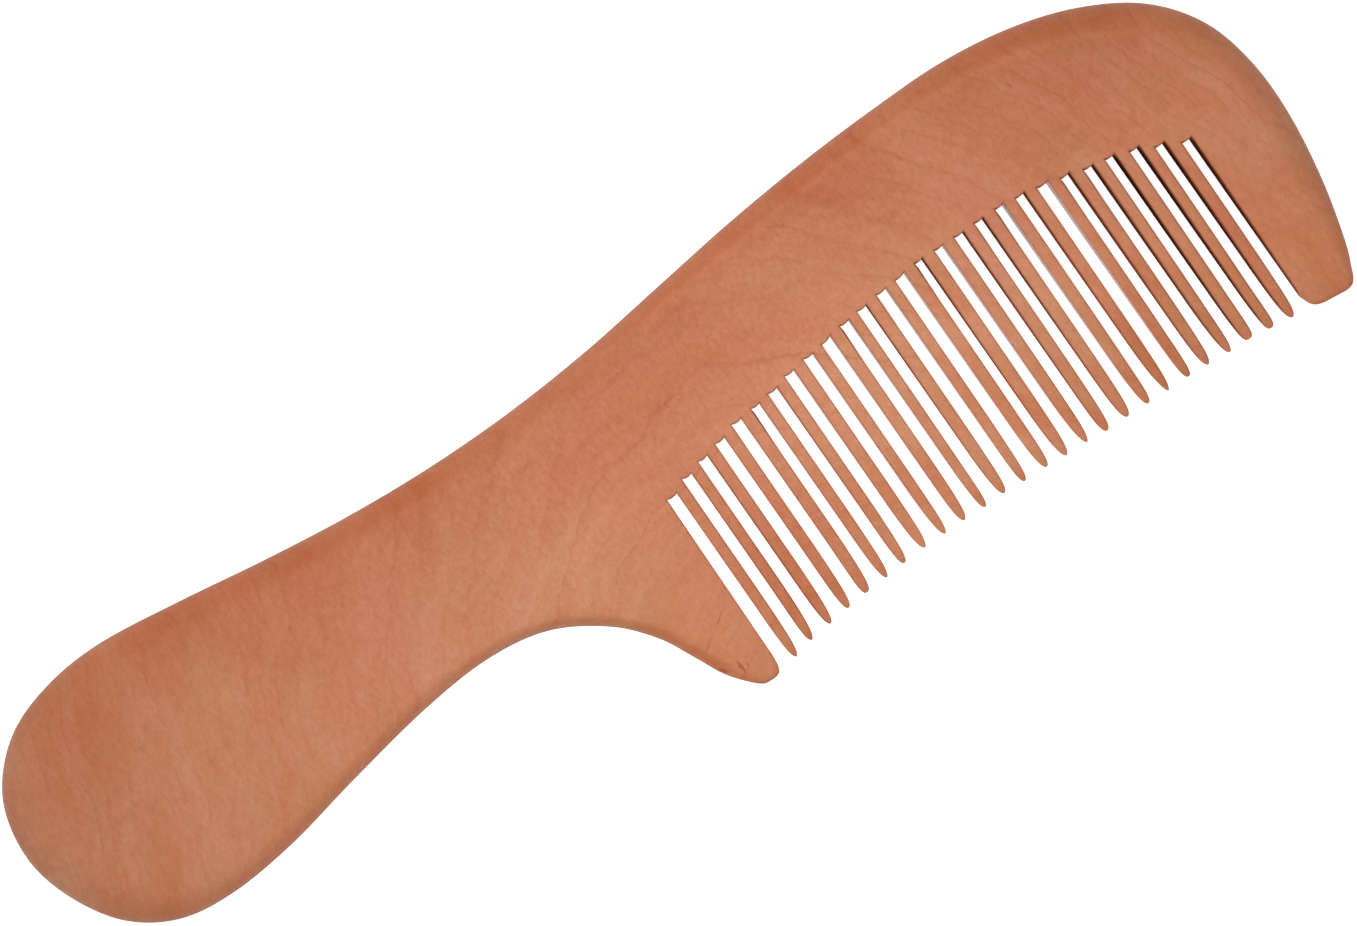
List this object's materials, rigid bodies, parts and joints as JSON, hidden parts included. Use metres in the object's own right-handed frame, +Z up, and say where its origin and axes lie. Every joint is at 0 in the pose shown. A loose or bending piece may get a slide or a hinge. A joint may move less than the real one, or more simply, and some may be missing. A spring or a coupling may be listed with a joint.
{
  "type": "wooden comb",
  "caption": "One-piece wooden hair comb with a broad rounded handle, a curved spine, guard teeth at both ends of the row and fine tapered teeth between them.",
  "frame": {"origin": "Centre of the comb's outline, on the face that it lies on.", "axes": "+X runs along the comb from the handle to the head, the teeth point along -Y, and +Z is up through the thickness."},
  "size_m": [0.1828, 0.0523, 0.009],
  "materials": {
    "wood": "pinkish tan fruitwood, finely sanded, with a faint waxed sheen"
  },
  "bodies": {
    "root": {"comb": "wood"}
  },
  "joints": []
}
